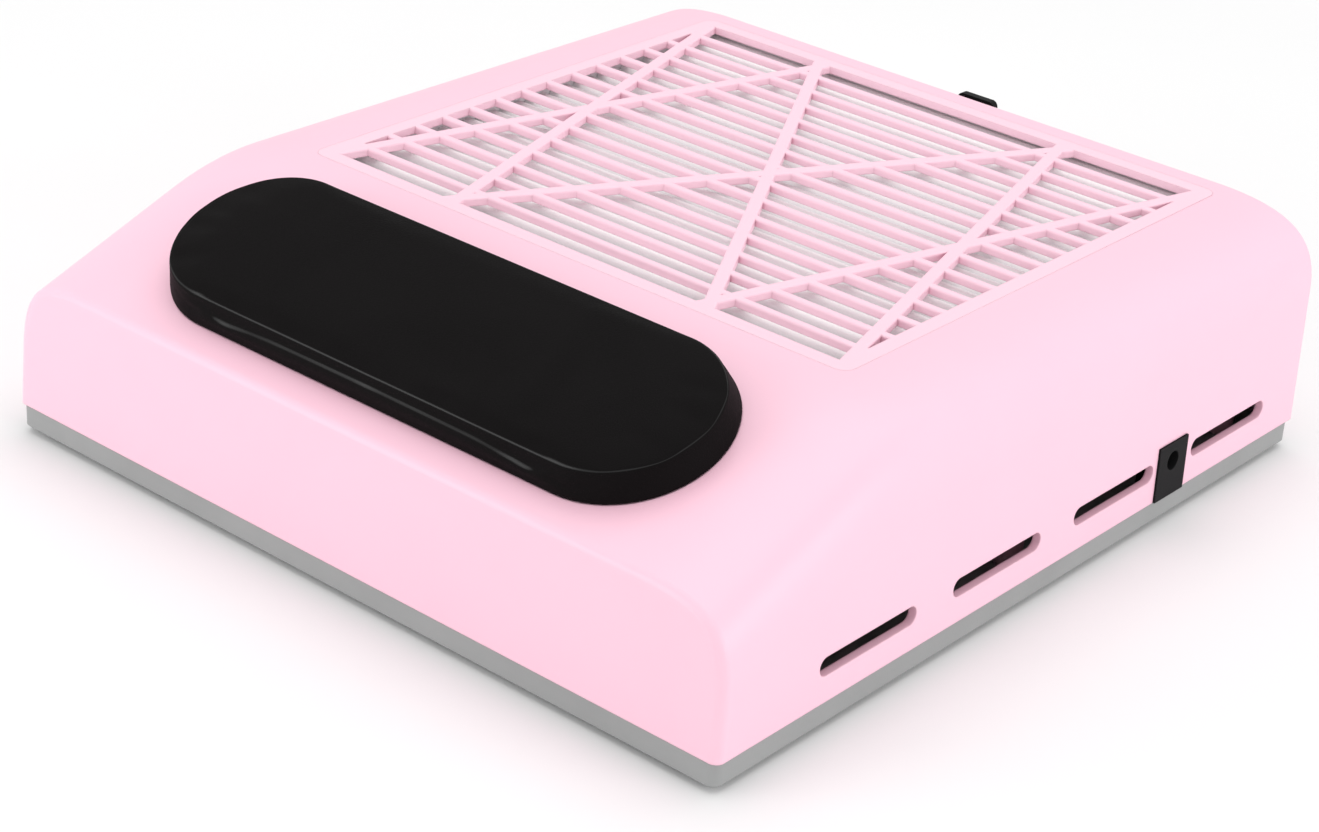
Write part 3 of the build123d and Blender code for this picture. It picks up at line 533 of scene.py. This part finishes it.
bm = bmesh.new()
section = pad_section()
rings = [[bm.verts.new(p) for p in stadium_ring(*ring)] for ring in section]
for lower, upper in zip(rings, rings[1:]):
    for i in range(len(lower)):
        after = (i + 1) % len(lower)
        bm.faces.new((lower[i], lower[after], upper[after], upper[i]))
bm.faces.new(list(reversed(rings[0])))
spine_half = (pad_length - pad_width) / 2
spine_places = [spine_half * (1 - 2 * i / PAD_SIDE_STEPS) for i in range(PAD_SIDE_STEPS + 1)]
spine = [
    bm.verts.new(Vector((x, 0.0, 0.0)) + pad_foot + out * pad_height) for x in spine_places
]
inner = rings[-1]
first_side = PAD_ARC_STEPS
second_side = first_side + PAD_SIDE_STEPS + PAD_ARC_STEPS
for i in range(PAD_SIDE_STEPS):
    bm.faces.new((inner[first_side + i], inner[first_side + i + 1], spine[i + 1], spine[i]))
    j = PAD_SIDE_STEPS - i
    over = inner[(second_side + i + 1) % len(inner)]
    bm.faces.new((inner[second_side + i], over, spine[j - 1], spine[j]))
for i in range(PAD_ARC_STEPS):
    bm.faces.new((inner[i], inner[i + 1], spine[0]))
    k = first_side + PAD_SIDE_STEPS + i
    bm.faces.new((inner[k], inner[k + 1], spine[-1]))
bmesh.ops.recalc_face_normals(bm, faces=bm.faces)

# Smooth skin with a very fine pressed grain, glossier along the edge where it is stretched, with a painted
# highlight in its colour there.
EDGE_LEAN = 0.72           # cosine between the edge's middle and the way off the slope
SKIN_GRAINS = 1300.0       # pressed grains in each metre

material, tree, shader = shaded("pad_skin")
place = node(tree, "TexCoord", {})
cells = node(
    tree, "TexVoronoi", {"Vector": place.outputs["Object"], "Scale": SKIN_GRAINS}, feature="DISTANCE_TO_EDGE"
)
creases = node(tree, "MapRange", {"Value": cells.outputs["Distance"], "From Min": 0.0, "From Max": 0.18})
handled = shared(tree, "mould_grain", Grain_Size=0.0012, Flow_Size=0.05)
skin = blended(tree, handled.outputs["Flow"], (0.0055, 0.0048, 0.0050), (0.0078, 0.0070, 0.0072))
lean = node(tree, "VectorMath", {0: place.outputs["Normal"], 1: tuple(out)}, operation="DOT_PRODUCT")
off_edge = node(tree, "Math", {0: lean.outputs["Value"], 1: EDGE_LEAN}, operation="SUBTRACT")
away_from = node(tree, "Math", {0: off_edge.outputs[0]}, operation="ABSOLUTE")
edge_gloss_and_highlight = node(tree, "MapRange", {"Value": away_from.outputs[0], "From Min": 0.12, "From Max": 0.02})
# Painted highlight: the skin's colour goes lighter along the middle of the edge; the coat there is a real
# gloss.
skin = blended(tree, edge_gloss_and_highlight.outputs[0], skin, (0.018, 0.018, 0.018))
tree.links.new(skin, shader.inputs["Base Color"])
tree.links.new(between(tree, edge_gloss_and_highlight.outputs[0], 0.0, 0.3), shader.inputs["Coat Weight"])
shader.inputs["Coat Roughness"].default_value = 0.22
tree.links.new(between(tree, handled.outputs["Flow"], 0.48, 0.62), shader.inputs["Roughness"])
shader.inputs["Specular IOR Level"].default_value = 0.025
relief = node(tree, "Bump", {"Height": creases.outputs[0], "Distance": 0.00003})
tree.links.new(relief.outputs[0], shader.inputs["Normal"])

pad = piece_from("hand_rest_cushion", bm, material)

# The foam presses the skin outwards; its foot is bonded to the plate and stays where it is.
before = [v.co.copy() for v in pad.data.vertices]
bonded = pad.vertex_groups.new(name="bonded_foot")
bonded.add(list(range(BONDED_RINGS * len(rings[0]))), 1.0, "REPLACE")
cloth = pad.modifiers.new("skin", "CLOTH")
cloth.settings.use_pressure = True
cloth.settings.uniform_pressure_force = FOAM_PRESSURE
cloth.settings.effector_weights.gravity = 0.0
cloth.settings.vertex_group_mass = "bonded_foot"
cloth.settings.quality = 5
for number in range(1, FOAM_FRAMES + 1):
    bpy.context.scene.frame_set(number)
posed = pad.evaluated_get(bpy.context.evaluated_depsgraph_get()).data
swollen = [v.co.copy() for v in posed.vertices]
pad.modifiers.remove(cloth)
for vertex, start, end in zip(pad.data.vertices, before, swollen):
    push = end - start
    vertex.co = start + push * min(1.0, PAD_SWELL / max(push.length, 1e-9))
pad.vertex_groups.clear()
bpy.context.scene.frame_set(1)

smooth = pad.modifiers.new("smooth", "SUBSURF")
smooth.levels = 1
smooth.render_levels = 1
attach(pad, "housing")
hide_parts("hand_rest_pad")


# ------------------------------------------------------------------------------------------------
# Filter drawer. A white polypropylene frame that slides in from the rear, closed there by a black
# strip with an upturned finger lip.
# ------------------------------------------------------------------------------------------------
frame_white = moulded(
    "frame_white", (0.78, 0.78, 0.79), (0.75, 0.75, 0.76), (0.84, 0.84, 0.85),
    gloss=(0.45, 0.4), grain=(0.0011, 0.00002),
)
finish(frame_white, "filter_frame")
finish(black_moulding, "filter_door")


# ------------------------------------------------------------------------------------------------
# Filter media. A white non-woven sheet, pleated on a machine so that its folds run across the
# collector, with broad round crests close under the grille, and glued in the frame along its rim.
# ------------------------------------------------------------------------------------------------
PLEATS = 32
PLEAT_STEPS = 14           # points along one pleat
MEDIA_COLUMNS = 48
CREST_WIDTH = 0.80         # how much broader the crests are than the valleys
CREST_FLATNESS = 1.8       # above 1, the crests are flatter than the valleys
MEDIA_SKIN = 0.0005
MEDIA_LEAN = 0.00022       # a fold wanders this far to the front and rear
MEDIA_SAG = 0.00025        # and its crest sags this far
FIBRES = 1500.0            # tangles in each metre
GREY_FROM = 0.0010         # depth under the crests where the greyer valley starts
GREY_TO = 0.0055           # and where it is full

low, high = (Vector(corner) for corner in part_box("filter_media"))
pitch = (high.y - low.y) / PLEATS
swing = (high.z - low.z - 2 * MEDIA_SKIN) / 2
middle = (high.z + low.z) / 2


def pleat_point(step, x):
    """A point of the sheet: step counts along the folds, and x runs across the collector."""
    turn = 2 * math.pi * step / PLEAT_STEPS
    y = low.y + pitch * (step / PLEAT_STEPS + CREST_WIDTH * math.sin(turn) / (2 * math.pi))
    fold = step // PLEAT_STEPS
    held = math.sin(math.pi * step / (PLEAT_STEPS * PLEATS))
    lean = MEDIA_LEAN * math.sin(37.0 * x + 2.1 * fold) * held
    sag = MEDIA_SAG * (1 + math.sin(23.0 * x + 1.3 * fold)) * (1 + math.cos(turn)) / 4
    depth = 2 * ((1 - math.cos(turn)) / 2) ** CREST_FLATNESS
    return Vector((x, y + lean, middle + swing * (1 - depth) - sag))


bm = bmesh.new()
places = [low.x + (high.x - low.x) * i / MEDIA_COLUMNS for i in range(MEDIA_COLUMNS + 1)]
rows = [
    [bm.verts.new(pleat_point(step, x)) for x in places] for step in range(PLEATS * PLEAT_STEPS + 1)
]
for near, far in zip(rows, rows[1:]):
    for i in range(MEDIA_COLUMNS):
        bm.faces.new((near[i], near[i + 1], far[i + 1], far[i]))

# Matted fibres: a tangled fine relief, a white colour, a trace of caught pink dust, and painted shade
# that greys the valleys.
material, tree, shader = shaded("filter_fleece")
place = node(tree, "TexCoord", {})
fibres = node(tree, "TexNoise", {
    "Vector": place.outputs["Object"], "Scale": FIBRES, "Detail": 4.0, "Distortion": 2.5,
})
fleece = blended(tree, fibres.outputs[0], (0.86, 0.87, 0.87), (0.93, 0.935, 0.93))
caught = shared(tree, "settled_dust", Amount=0.35)
fleece = blended(tree, caught.outputs["Mask"], fleece, (0.90, 0.85, 0.86))
height = node(tree, "SeparateXYZ", {"Vector": place.outputs["Object"]})
# Painted shade: the sheet goes grey down in its valleys, deep under the crests.
valley_shade = node(tree, "MapRange", {
    "Value": height.outputs["Z"], "From Min": high.z - GREY_FROM, "From Max": high.z - GREY_TO,
})
fleece = blended(tree, valley_shade.outputs[0], fleece, (0.42, 0.42, 0.43))
tree.links.new(fleece, shader.inputs["Base Color"])
shader.inputs["Subsurface Weight"].default_value = 0.2
shader.inputs["Subsurface Radius"].default_value = (0.001, 0.001, 0.001)
shader.inputs["Subsurface Scale"].default_value = 1.0
# Painted light: the fibres glow faintly, which lifts the sheet where the slats shade it.
painted_glow = blended(tree, fibres.outputs[0], (0.03, 0.03, 0.03), (0.09, 0.09, 0.09))
tree.links.new(painted_glow, shader.inputs["Emission Color"])
shader.inputs["Emission Strength"].default_value = 1.0
tree.links.new(between(tree, fibres.outputs[0], 0.8, 1.0), shader.inputs["Roughness"])
shader.inputs["Specular IOR Level"].default_value = 0.15
relief = node(tree, "Bump", {"Height": fibres.outputs[0], "Distance": 0.00004})
tree.links.new(relief.outputs[0], shader.inputs["Normal"])

media = piece_from("pleated_media", bm, material)
thickness = media.modifiers.new("thickness", "SOLIDIFY")
thickness.thickness = MEDIA_SKIN
thickness.offset = 0.0
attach(media, "filter_drawer")
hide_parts("filter_media")


# ------------------------------------------------------------------------------------------------
# Table and light. A plain white table top in a bright room, under broad soft lamps: one overhead,
# one low at the right of the collector, and a weaker one low in front of it on the left.
# ------------------------------------------------------------------------------------------------
TABLE_HALF = 14.0
ROOM_LIGHT = 0.83

material, tree, shader = shaded("table_white")
top = shared(tree, "mould_grain", Grain_Size=0.004, Flow_Size=0.5)
paint = blended(tree, top.outputs["Flow"], (0.86, 0.86, 0.86), (0.88, 0.88, 0.88))
tree.links.new(paint, shader.inputs["Base Color"])
tree.links.new(between(tree, top.outputs["Grain"], 0.7, 0.8), shader.inputs["Roughness"])
shader.inputs["Specular IOR Level"].default_value = 0.1

bm = bmesh.new()
corners = [(-1, -1), (1, -1), (1, 1), (-1, 1)]
bm.faces.new([bm.verts.new((x * TABLE_HALF, y * TABLE_HALF, 0.0)) for x, y in corners])
table = piece_from("table_top", bm, material)
table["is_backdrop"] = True

world = bpy.data.worlds.new("room")
world.use_nodes = True
world.node_tree.nodes["Background"].inputs["Color"].default_value = (1.0, 1.0, 1.0, 1.0)
world.node_tree.nodes["Background"].inputs["Strength"].default_value = ROOM_LIGHT
bpy.context.scene.world = world


def soft_lamp(name, place, size, power):
    """A square soft box that faces the collector."""
    lamp = bpy.data.lights.new(name, "AREA")
    lamp.size = size
    lamp.energy = power
    made = bpy.data.objects.new(name, lamp)
    made.location = place
    made.rotation_euler = (-Vector(place)).to_track_quat("-Z", "Y").to_euler()
    bpy.context.scene.collection.objects.link(made)


soft_lamp("overhead", (-0.05, 0.15, 1.20), 1.3, 5.3)
soft_lamp("right_hand", (1.20, 0.10, 0.17), 0.9, 5.7)
soft_lamp("front_left", (-0.45, -0.85, 0.16), 0.55, 2.9)
bpy.context.scene.view_settings.view_transform = "Standard"


# ------------------------------------------------------------------------------------------------
# Camera. It looks down from the front right, as a shopper sees the collector on a table.
# ------------------------------------------------------------------------------------------------
TURN = math.radians(38.965)
RISE = math.radians(26.795)
TILT = math.radians(3.968)
AIM = Vector((-0.00398, -0.005, 0.005475))
DISTANCE = 0.8597
FOCAL_LENGTH = 81.07       # in millimetres, as the sensor's width
SENSOR_WIDTH = 36.0

back = Vector((math.sin(TURN) * math.cos(RISE), -math.cos(TURN) * math.cos(RISE), math.sin(RISE)))
right = (-back).cross(Vector((0.0, 0.0, 1.0))).normalized()
up = right.cross(-back)
tilted_right = right * math.cos(TILT) + up * math.sin(TILT)
tilted_up = up * math.cos(TILT) - right * math.sin(TILT)
lens = bpy.data.cameras.new("shopper")
lens.lens = FOCAL_LENGTH
lens.sensor_width = SENSOR_WIDTH
lens.clip_start = 0.01
camera = bpy.data.objects.new("shopper", lens)
bpy.context.scene.collection.objects.link(camera)
turned_axes = Matrix((tilted_right, tilted_up, back)).transposed().to_4x4()
camera.matrix_world = Matrix.Translation(AIM + back * DISTANCE) @ turned_axes
bpy.context.scene.camera = camera

boxes = {"cad": cad_box, "visual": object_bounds()}
boxes = {name: [list(map(float, corner)) for corner in box] for name, box in boxes.items()}
